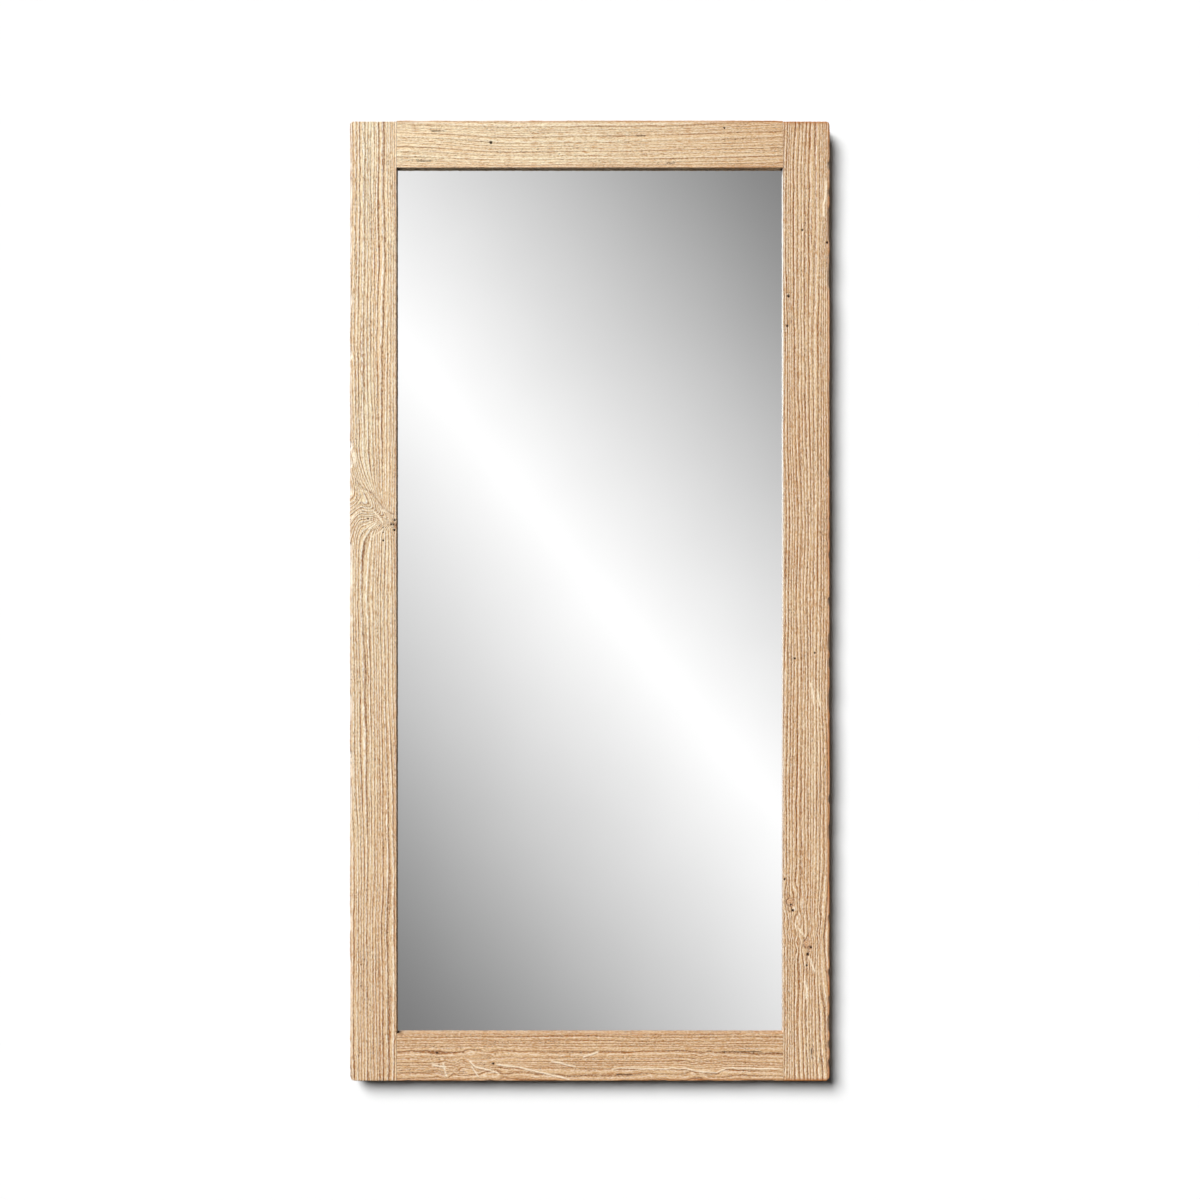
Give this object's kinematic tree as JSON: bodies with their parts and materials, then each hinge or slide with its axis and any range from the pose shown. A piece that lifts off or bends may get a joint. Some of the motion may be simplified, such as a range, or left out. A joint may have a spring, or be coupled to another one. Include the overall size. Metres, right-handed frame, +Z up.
{
  "type": "full-length mirror",
  "caption": "Tall wall mirror in a flat butt-jointed frame of rough brushed softwood boards, with a screwed backing board, rubber bumpers and swinging hanger rings behind.",
  "frame": {"origin": "on the wall plane, behind the middle of the mirror", "axes": "+Z up, +X to the right of someone looking into the mirror, +Y into the wall; the front faces -Y"},
  "size_m": [0.9, 0.047, 1.8],
  "materials": {
    "softwood": "matte",
    "dowel_wood": "satin",
    "silvered_glass": "polished",
    "hardboard": "matte",
    "foam_tape": "matte",
    "packing_rubber": "matte",
    "bumper_rubber": "satin",
    "zinc_plate": "satin"
  },
  "bodies": {
    "mirror": {"backing_board": "hardboard", "backing_screws": "zinc_plate", "bonding_tape": "foam_tape", "bottom_left_bumper": "bumper_rubber", "bottom_left_dowels": "dowel_wood", "bottom_rail": "softwood", "bottom_right_bumper": "bumper_rubber", "bottom_right_dowels": "dowel_wood", "edge_spacers": "packing_rubber", "left_hanger_screws": "zinc_plate", "left_hanger_strap": "zinc_plate", "left_stile": "softwood", "mirror_glass": "silvered_glass", "right_hanger_screws": "zinc_plate", "right_hanger_strap": "zinc_plate", "right_stile": "softwood", "setting_blocks": "packing_rubber", "top_left_bumper": "bumper_rubber", "top_left_dowels": "dowel_wood", "top_rail": "softwood", "top_right_bumper": "bumper_rubber", "top_right_dowels": "dowel_wood"},
    "left_ring": {"left_hanger_ring": "zinc_plate"},
    "right_ring": {"right_hanger_ring": "zinc_plate"}
  },
  "joints": [
    {"name": "left_ring_swing", "type": "hinge", "parent": "mirror", "child": "left_ring", "pos_m": [-0.4185, -0.0052, 0.6], "axis": [1, 0, 0], "range_deg": [0, 180]},
    {"name": "right_ring_swing", "type": "hinge", "parent": "mirror", "child": "right_ring", "pos_m": [0.4185, -0.0052, 0.6], "axis": [1, 0, 0], "range_deg": [0, 180]}
  ]
}
